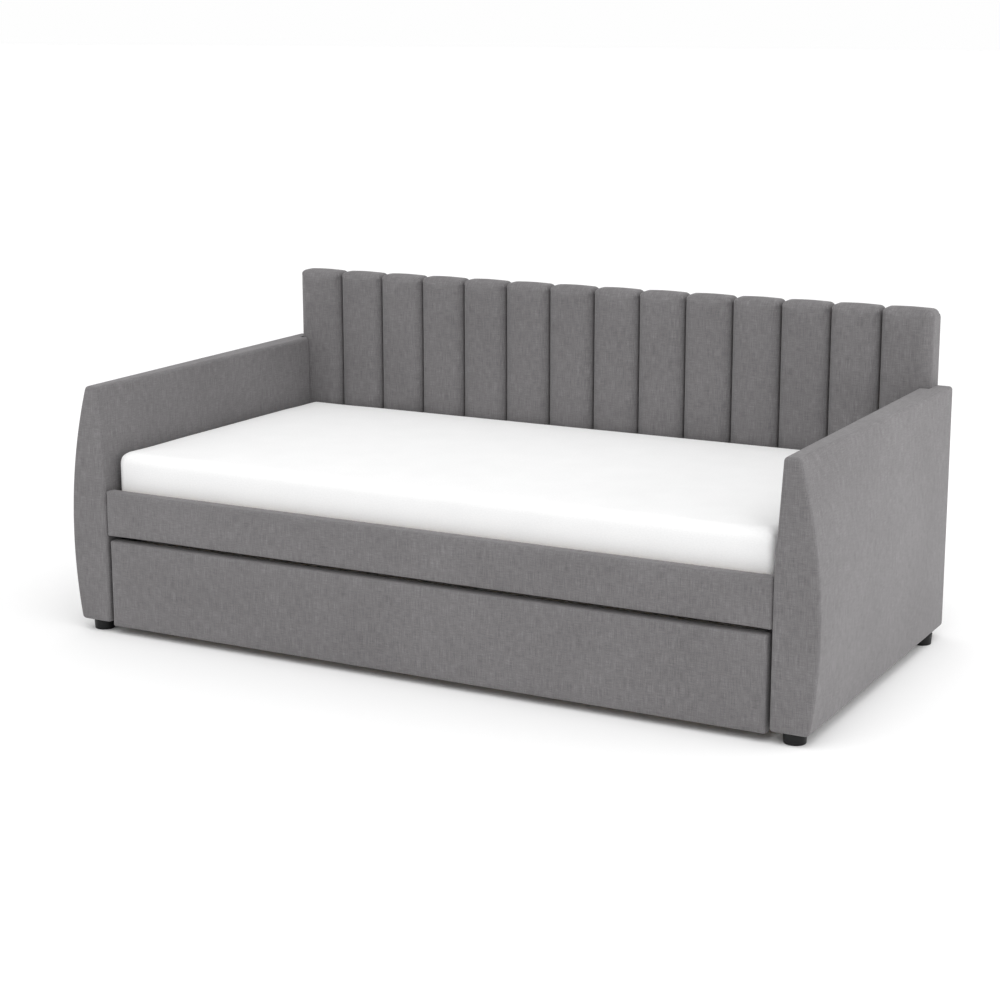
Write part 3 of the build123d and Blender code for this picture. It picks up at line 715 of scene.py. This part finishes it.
# ---------------------------------------------------------------- the object's sub-assemblies
@dataclass
class Arms:
    """The padded arms: bowed at the front end, straight at the rear, notched where the back sits."""

    cloth: bpy.types.Material
    bow_radius: float = 1400 * MM
    bow_height: float = 270 * MM
    lean: float = 17 * MM
    rear_lean: float = 1 * MM
    lean_from: float = 400 * MM
    rear_thick: float = 78 * MM
    rise: float = 9 * MM
    edge: float = 13 * MM
    cell: float = 20 * MM
    cell_across: float = 0.25
    swell: float = 3 * MM
    pressure: float = 2.0
    play: float = 0.3 * MM
    spare: float = 50 * MM
    fill: float = 0.95
    inner: float = 0.0
    low: Vector = field(default_factory=Vector)
    high: Vector = field(default_factory=Vector)

    def shape(self, point: Vector) -> Vector:
        """Bends the straight block to the arm's bow and lean.

        Args:
            point: a point of the block, with 0 across at the inner face and 1 at the outer.

        Returns:
            The point's place on the arm.
        """
        depth = (point.y - self.low.y) / (self.high.y - self.low.y)
        bow = self.bow_radius - math.sqrt(self.bow_radius**2 - (point.z - self.bow_height) ** 2)
        lean = max(0.0, point.z - self.lean_from) / (self.high.z - self.lean_from)
        inside = self.inner + lean * (self.lean * (1 - depth) + self.rear_lean * depth)
        outside = (self.high.x - bow) * (1 - depth) + (self.inner + self.rear_thick) * depth
        up = (point.z - self.low.z) / (self.high.z - self.low.z)
        height = point.z + self.rise * depth * up
        return Vector((inside + (outside - inside) * point.x, point.y, height))

    def notch(self, piece: bpy.types.Object) -> None:
        """Cuts away the room of the back.

        Args:
            piece: the arm.
        """
        channel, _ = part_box("back_channel_01")
        board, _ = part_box("back_board")
        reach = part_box("back_rear_cover")[1].x + self.play
        cutter = add_block(
            "notch",
            Vector((self.inner / 2, channel.y, channel.z)),
            Vector((reach, self.high.y + self.spare, self.high.z + self.spare)),
        )
        cut_at(cutter, Axis.DEPTH, board.y)
        extrude_faces(
            cutter,
            lambda centre, normal: normal.z < -0.9 and centre.y > board.y,
            Vector((0.0, 0.0, self.low.z - self.spare - channel.z)),
        )
        apply_modifier(piece, "BOOLEAN", object=cutter, operation="DIFFERENCE", solver="EXACT")
        bpy.data.objects.remove(cutter)

    def model(self) -> bpy.types.Object:
        """Models the right arm and returns it."""
        inset = self.swell / 2
        piece = add_block(
            "right_arm",
            Vector((0.0, self.low.y + inset, self.low.z)),
            Vector((1.0, self.high.y - inset, self.high.z - inset)),
        )
        cut_rings(piece, Axis.DEPTH, self.cell)
        cut_rings(piece, Axis.UP, self.cell)
        cut_rings(piece, Axis.ACROSS, self.cell_across)
        reshape(piece, self.shape)
        round_edges(piece, lambda middle, along: True, self.edge)
        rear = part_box("back_channel_01")[0].y
        inside = self.inner - RIM

        def held(point: Vector) -> bool:
            """Tells a point at the rear, at the bottom or past the inner face, which is tacked down."""
            return point.y > rear or point.z < self.low.z + self.edge or point.x < inside

        puff(piece, self.swell, held, self.pressure)
        subdivide(piece)
        self.notch(piece)
        return piece

    def mirror(self, piece: bpy.types.Object) -> bpy.types.Object:
        """Copies the right arm to the left side, with its faces still outwards.

        Args:
            piece: the right arm.

        Returns:
            The left arm.
        """
        copy = piece.copy()
        copy.data = piece.data.copy()
        copy.name = copy.data.name = "left_arm"
        bpy.context.scene.collection.objects.link(copy)
        only(copy)
        bpy.ops.object.mode_set(mode="EDIT")
        bpy.ops.mesh.select_all(action="SELECT")
        bpy.ops.transform.resize(value=(-1, 1, 1), center_override=(0, 0, 0))
        bpy.ops.mesh.flip_normals()
        bpy.ops.object.mode_set(mode="OBJECT")
        return copy

    def build(self) -> list[bpy.types.Object]:
        """Makes both arms and returns them."""
        self.low, self.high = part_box("right_arm_cover")
        self.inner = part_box("front_rail_cover")[1].x + self.play
        right = self.model()
        pieces = [right, self.mirror(right)]
        for piece in pieces:
            settle(piece, "root", "grey_upholstery", self.cloth, f"{piece.name}_cover")
        return pieces


@dataclass
class Back:
    """The back: upright channels carried over the top of the frame, and a plain rear cover."""

    cloth: bpy.types.Material
    crown: float = 5 * MM
    top_share: float = 0.6
    pressure: float = 4.0
    edge: float = 15 * MM
    cell: float = 10 * MM
    cell_up: float = 18 * MM
    seam: float = 1.4 * MM
    play: float = 0.3 * MM
    fold: float = 1.0 * MM
    fill: float = 0.85
    unevenness: float = 0.8 * MM
    end_width: float = 60 * MM
    cover_drop: float = 19 * MM
    cover_cell: float = 60 * MM
    cover_edge: float = 4 * MM
    cover_fill: float = 0.9
    shoulder: float = 1.5 * MM
    lining: float = 0.16 * MM
    lining_lift: float = 0.12 * MM
    corner_slope: float = 8 * MM
    half_width: float = 0.0
    half_cover: float = 0.0

    def channel(self) -> bpy.types.Object:
        """Models the first channel and returns it."""
        low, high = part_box("back_channel_01")
        board_low, board_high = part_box("back_board")
        inset = self.crown
        front, rear, top = low.y + inset, board_low.y - self.play, high.z - inset * self.top_share
        piece = add_block(
            "back_channel_pad",
            Vector((low.x + self.seam, front, low.z)),
            Vector((high.x - self.seam, rear, top)),
        )
        frame_top = board_high.z + self.play
        middle = (low.x + high.x) / 2
        half_held = high.x - middle - 1.2 * self.seam
        cut_at(piece, Axis.UP, frame_top)
        extrude_faces(
            piece,
            lambda centre, normal: normal.y > 0.9 and centre.z > frame_top,
            Vector((0.0, high.y - self.play - rear, 0.0)),
        )

        def shown(place: Vector, along: Vector) -> bool:
            """Tells an edge of the front or the top, apart from the hidden one at the bottom."""
            return (place.y < front + RIM or place.z > top - RIM) and place.z > low.z + RIM

        def held(point: Vector) -> bool:
            """Tells a point that lies against the board or is sewn into a seam."""
            return point.z < frame_top and point.y > rear - RIM or abs(point.x - middle) > half_held

        round_edges(piece, shown, self.edge)
        cut_cells(piece, Axis.UP, low.z + 2 * self.edge, top - self.edge, self.cell_up)
        cut_cells(piece, Axis.ACROSS, low.x + self.edge, high.x - self.edge, self.cell)
        cut_cells(piece, Axis.DEPTH, front + self.edge, high.y - self.edge, self.cell)
        cut_at(piece, Axis.DEPTH, rear - self.fold)
        cut_at(piece, Axis.UP, frame_top + self.fold)
        puff(piece, self.crown, held, self.pressure)
        subdivide(piece)
        return piece

    def rear_cover(self) -> bpy.types.Object:
        """Models the plain cloth over the rear and the two ends, and returns it."""
        low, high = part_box("back_rear_cover")
        channel_low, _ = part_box("back_channel_01")
        inner = abs(channel_low.x) + self.play / 2
        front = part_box("back_posts")[1].y + self.play
        board_low, board_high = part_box("back_board")
        edge, base = board_low.y, board_high.z + self.lining_lift
        side = self.half_cover - self.play
        piece = add_block(
            "back_cloth", Vector((-side, front, low.z)), Vector((side, high.y, high.z - self.cover_drop))
        )
        round_edges(piece, lambda middle, along: abs(along.y) > 0.9 and middle.z > base, self.shoulder, 6)
        for height in (base, base + self.lining):
            cut_at(piece, Axis.UP, height)
        for place in (-inner, inner):
            cut_at(piece, Axis.ACROSS, place)

        def at_end_or_lining(centre: Vector, normal: Vector) -> bool:
            """Tells a front face of an end, or of the lining that hides the timber between channels."""
            over_end = abs(centre.x) > inner and centre.z < base
            return normal.y < -0.9 and (over_end or 0.0 < centre.z - base < self.lining)

        extrude_faces(piece, at_end_or_lining, Vector((0.0, edge - front, 0.0)))
        round_edges(piece, lambda middle, along: middle.y > high.y - RIM, self.cover_edge, 3)
        border = self.cover_cell / 2
        cut_cells(piece, Axis.ACROSS, -inner + border, inner - border, self.cover_cell)
        cut_cells(piece, Axis.UP, low.z + border, base - border, self.cover_cell)

        def slope_corner(point: Vector) -> Vector:
            """Lowers the outer rear corners, so that the channel's rounding runs on to the rear."""
            at_corner = point.y > front + RIM and abs(point.x) > inner + RIM and point.z > base - RIM
            return point - Vector((0.0, 0.0, self.corner_slope)) if at_corner else point

        reshape(piece, slope_corner)
        settle(piece, "root", "grey_upholstery", self.cloth, "back_rear_cover")
        return piece

    def build(self) -> list[bpy.types.Object]:
        """Models the whole back and returns its pieces."""
        names = sorted(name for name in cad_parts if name.startswith("back_channel"))
        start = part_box(names[0])[0].x
        self.half_width = abs(start)
        self.half_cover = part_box("back_rear_cover")[1].x
        first = self.channel()
        pieces = []
        for name in names:
            copy = first.copy()
            copy.data = first.data.copy()
            copy.name = copy.data.name = f"{name}_pad"
            bpy.context.scene.collection.objects.link(copy)
            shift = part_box(name)[0].x - start
            reshape(copy, lambda point: point + Vector((shift, 0.0, 0.0)))
            reshape(copy, self.uneven)
            reshape(copy, self.fill_ends)
            settle(copy, "root", "grey_upholstery", self.cloth, name)
            pieces.append(copy)
        bpy.data.objects.remove(first)
        pieces.append(self.rear_cover())
        return pieces

    def uneven(self, point: Vector) -> Vector:
        """Moves a channel's point a little, so that each channel looks filled by hand.

        Args:
            point: the point.

        Returns:
            The moved point.
        """
        wave = noise.noise(Vector((point.x * 6, 0.0, point.z * 4)))
        return point + Vector((0.0, self.unevenness * (wave + 0.5), 0.0))

    def fill_ends(self, point: Vector) -> Vector:
        """Brings the outer side of an end channel level with the cloth over the end.

        Args:
            point: a channel's point.

        Returns:
            The moved point.
        """
        start = self.half_width - self.seam - self.end_width
        near = max(0.0, abs(point.x) - start) / self.end_width
        point.x += math.copysign((self.half_cover - self.half_width + self.seam) * near**3, point.x)
        return point


@dataclass
class PaddedPanel:
    """A padded panel whose board lies in a recess of its rear face: the rail or the trundle front."""

    cover_node: str
    board_node: str
    body: str
    cloth: bpy.types.Material
    edge: float = 6.5 * MM
    cell: float = 22 * MM
    swell: float = 2.5 * MM
    pressure: float = 3.0
    soft_depth: float = 14 * MM
    play: float = 0.4 * MM
    fill: float = 0.92

    def build(self) -> bpy.types.Object:
        """Models the panel and returns it."""
        low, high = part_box(self.cover_node)
        board_low, board_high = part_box(self.board_node)
        margin = high.z - board_high.z
        inset = self.swell
        piece = add_block(
            self.cover_node + "_pad",
            low + Vector((0.0, inset, inset / 3)),
            high - Vector((0.0, 0.0, inset / 3)),
        )
        front = low.y + inset + RIM
        round_edges(piece, lambda middle, along: middle.y < front or abs(along.y) > 0.9, self.edge)
        pick_faces(piece, lambda centre, normal: normal.y > 0.9)
        bpy.ops.mesh.inset(thickness=margin, depth=0.0)
        bpy.ops.object.mode_set(mode="OBJECT")
        extrude_faces(
            piece,
            lambda centre, normal: normal.y > 0.9 and (centre - (low + high) / 2).xz.length < margin,
            Vector((0.0, board_low.y - board_high.y - self.play, 0.0)),
        )
        for axis in (Axis.ACROSS, Axis.UP):
            start, end = low[axis.value], high[axis.value]
            cut_cells(piece, axis, start + 2 * self.edge, end - 2 * self.edge, self.cell)
        puff(piece, self.swell, lambda point: point.y > low.y + self.soft_depth, self.pressure)
        subdivide(piece)
        settle(piece, self.body, "grey_upholstery", self.cloth, self.cover_node)
        return piece


@dataclass
class Mattress:
    """A soft white mattress: full and round in front, less round where it is pushed to the rear."""

    node: str
    body: str
    ticking: bpy.types.Material
    to_left: float = 0.0
    edge: float = 28 * MM
    pressed: float = 0.5
    corner: float = 0.8
    cell: float = 26 * MM
    swell: float = 5 * MM
    pressure: float = 3.0
    fill: float = 0.9

    def build(self) -> bpy.types.Object:
        """Models the mattress and returns it."""
        low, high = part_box(self.node)
        inset = self.swell * 0.6
        left = Vector((-self.to_left, 0.0, 0.0))
        piece = add_block(
            self.node + "_body",
            low + left + Vector((inset, inset, 0.0)),
            high + left - Vector((inset, inset, inset * 0.5)),
        )
        weights = piece.data.attributes.new("bevel_weight_edge", "FLOAT", "EDGE")
        for edge in piece.data.edges:
            first, second = (piece.data.vertices[index].co for index in edge.vertices)
            upright = abs(second.z - first.z) > self.edge
            at_rear = min(first.y, second.y) > (low.y + high.y) / 2
            weights.data[edge.index].value = self.corner if upright else self.pressed if at_rear else 1.0
        apply_modifier(
            piece, "BEVEL", width=self.edge, segments=6, limit_method="WEIGHT", use_clamp_overlap=False
        )
        for axis in Axis:
            start, end = low[axis.value], high[axis.value]
            cut_cells(piece, axis, start + 1.4 * self.edge, end - 1.4 * self.edge, self.cell)
        puff(piece, self.swell, lambda point: point.z < low.z + RIM, self.pressure)
        subdivide(piece)
        settle(piece, self.body, "mattress_cloth", self.ticking, self.node)
        return piece


# ---------------------------------------------------------------- carried-over CAD nodes
def dress_nodes(names: Iterable[str], material: bpy.types.Material) -> None:
    """Gives carried-over CAD nodes a finish.

    Args:
        names: the nodes.
        material: their finish.
    """
    for name in names:
        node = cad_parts[name]
        node.data.materials.clear()
        node.data.materials.append(material)
        LOG.info("%s: kept from the frame, in %s", name, material.name)


def dress_frame() -> None:
    """Chooses a finish for every CAD node that stays visible."""
    pine_across = Timber("planed_pine_along_x", "#e0c294", "#b98d58", Axis.ACROSS).build()
    pine_deep = Timber("planed_pine_along_y", "#e2c598", "#b98d58", Axis.DEPTH).build()
    pine_up = Timber("planed_pine_upright", "#dfc092", "#b58a55", Axis.UP).build()
    board = Timber("birch_plywood", "#d9bd93", "#b3905f", Axis.ACROSS, 9.0, 420.0).build()
    side_board = Timber("birch_plywood_sides", "#d9bd93", "#b3905f", Axis.DEPTH, 9.0, 420.0).build()
    zinc = ZincSteel().build()
    foot = MouldedPlastic("black_moulded_plastic", "#0e0e0f", "#060607").build()
    nylon = MouldedPlastic("dark_moulded_nylon", "#3a3b3d", "#242527", roughness=0.35).build()
    dust = ThinCloth("black_spunbonded_cloth", "#1d1d1f", "#101011").build()
    strap = ThinCloth("white_woven_strap", "#e6e3dc", "#c9c5bc").build()
    dress_nodes(["front_ledger", "rear_ledger", "back_rails", "trundle_ledgers"], pine_across)
    dress_nodes(["left_arm_rails", "right_arm_rails", "bed_slats", "trundle_slats"], pine_deep)
    dress_nodes(["left_arm_posts", "right_arm_posts", "back_posts", "trundle_corner_blocks"], pine_up)
    dress_nodes(["back_board", "front_rail_board", "trundle_front_board", "trundle_rear_board"], board)
    dress_nodes(["left_arm_boards", "right_arm_boards", "trundle_sides"], side_board)
    dress_nodes(
        [
            "corner_brackets",
            "caster_brackets",
            "bracket_bolts",
            "caster_axles",
            "caster_screws",
            "foot_studs",
            "ledger_screws",
            "trundle_confirmat_screws",
        ],
        zinc,
    )
    corners = [f"{end}_{side}" for end in ("front", "rear") for side in ("left", "right")]
    dress_nodes([f"{corner}_foot" for corner in corners], foot)
    dress_nodes([f"{corner}_wheel" for corner in corners], nylon)
    dress_nodes(["left_arm_dust_cover", "right_arm_dust_cover"], dust)
    dress_nodes(["bed_slat_straps"], strap)


# ---------------------------------------------------------------- studio
@dataclass
class Studio:
    """Pale floor, soft light and the camera."""

    floor_half: float = 120.0
    floor_colour: str = "#fbfbfb"
    camera_place: tuple[float, float, float] = (2.7053, -4.9994, 1.6382)
    azimuth: float = 28.78
    elevation: float = 12.55
    lens: float = 77.31
    sensor: float = 36.0
    view_reach: float = 400.0
    horizon: str = "#fefefe"
    overhead: str = "#d9d9d9"
    wash: float = 1.4
    wash_spread: float = 70.0
    wash_way: tuple[float, float, float] = (-0.2, 0.5, -1.2)
    softbox_place: tuple[float, float, float] = (3.6, 0.6, 1.2)
    softbox_target: tuple[float, float, float] = (1.1, 0.1, 0.6)
    softbox_size: tuple[float, float] = (2.6, 0.9)
    softbox_watts: float = 25.0

    def floor(self) -> None:
        """Lays the pale floor."""
        bpy.ops.object.select_all(action="DESELECT")
        bpy.ops.mesh.primitive_plane_add(size=2 * self.floor_half, location=(0, 0, 0))
        floor = bpy.context.active_object
        floor.name = "studio_floor"
        material, tree = new_material("pale_studio_floor")
        shader = add_node(
            tree,
            "ShaderNodeBsdfPrincipled",
            {"Base Color": srgb(self.floor_colour), "Roughness": 0.9, "Specular IOR Level": 0.1},
        )
        add_node(tree, "ShaderNodeOutputMaterial", {"Surface": shader.outputs[0]})
        floor.data.materials.append(material)

    def world(self) -> None:
        """Sets the white surroundings, a little darker overhead."""
        world = bpy.data.worlds.new("studio")
        bpy.context.scene.world = world
        world.use_nodes = True
        tree = world.node_tree
        tree.nodes.clear()
        way = add_node(tree, "ShaderNodeTexCoord").outputs["Generated"]
        height = add_node(tree, "ShaderNodeSeparateXYZ", {0: way}).outputs["Z"]
        shade = add_node(
            tree, "ShaderNodeValToRGB", {"Fac": height}, {0.05: self.horizon, 0.6: self.overhead}
        ).outputs["Color"]
        glow = add_node(tree, "ShaderNodeBackground", {"Color": shade, "Strength": 1.0})
        add_node(tree, "ShaderNodeOutputWorld", {"Surface": glow.outputs[0]})

    def sun(self) -> None:
        """Adds the wide, very soft light from the front."""
        light = bpy.data.lights.new("front_wash", "SUN")
        light.energy = self.wash
        light.angle = math.radians(self.wash_spread)
        lamp = bpy.data.objects.new("front_wash", light)
        bpy.context.scene.collection.objects.link(lamp)
        lamp.rotation_euler = Vector(self.wash_way).to_track_quat("-Z", "Y").to_euler()

    def softbox(self) -> None:
        """Hangs the soft rectangular light on the right."""
        light = bpy.data.lights.new("low_right_softbox", "AREA")
        light.shape = "RECTANGLE"
        light.size, light.size_y = self.softbox_size
        light.energy = self.softbox_watts
        lamp = bpy.data.objects.new("low_right_softbox", light)
        bpy.context.scene.collection.objects.link(lamp)
        lamp.location = self.softbox_place
        way = Vector(self.softbox_target) - Vector(self.softbox_place)
        lamp.rotation_euler = way.to_track_quat("-Z", "Y").to_euler()
        lamp.visible_camera = False

    def camera(self) -> None:
        """Sets the camera at its place and angle."""
        data = bpy.data.cameras.new("camera")
        data.lens = self.lens
        data.sensor_width = self.sensor
        data.clip_end = self.view_reach
        camera = bpy.data.objects.new("camera", data)
        bpy.context.scene.collection.objects.link(camera)
        camera.location = self.camera_place
        turn, tilt = math.radians(self.azimuth), math.radians(self.elevation)
        camera.rotation_euler = (math.radians(90) - tilt, 0.0, turn)
        bpy.context.scene.camera = camera

    def build(self) -> None:
        """Sets up the whole studio."""
        self.floor()
        self.world()
        self.sun()
        self.softbox()
        self.camera()
        bpy.context.scene.view_settings.view_transform = "Standard"


def main() -> None:
    """Builds every piece in order and reports it."""
    logging.basicConfig(level=logging.INFO, format="%(message)s")
    cloth = WovenCloth().build()
    ticking = KnittedTicking().build()
    Arms(cloth).build()
    Back(cloth).build()
    PaddedPanel("front_rail_cover", "front_rail_board", "root", cloth).build()
    PaddedPanel("trundle_front_cover", "trundle_front_board", "trundle", cloth).build()
    Mattress("mattress", "root", ticking, to_left=3.5 * MM).build()
    Mattress("trundle_mattress", "trundle", ticking).build()
    dress_frame()
    Studio().build()


if __name__ == "__main__":
    main()
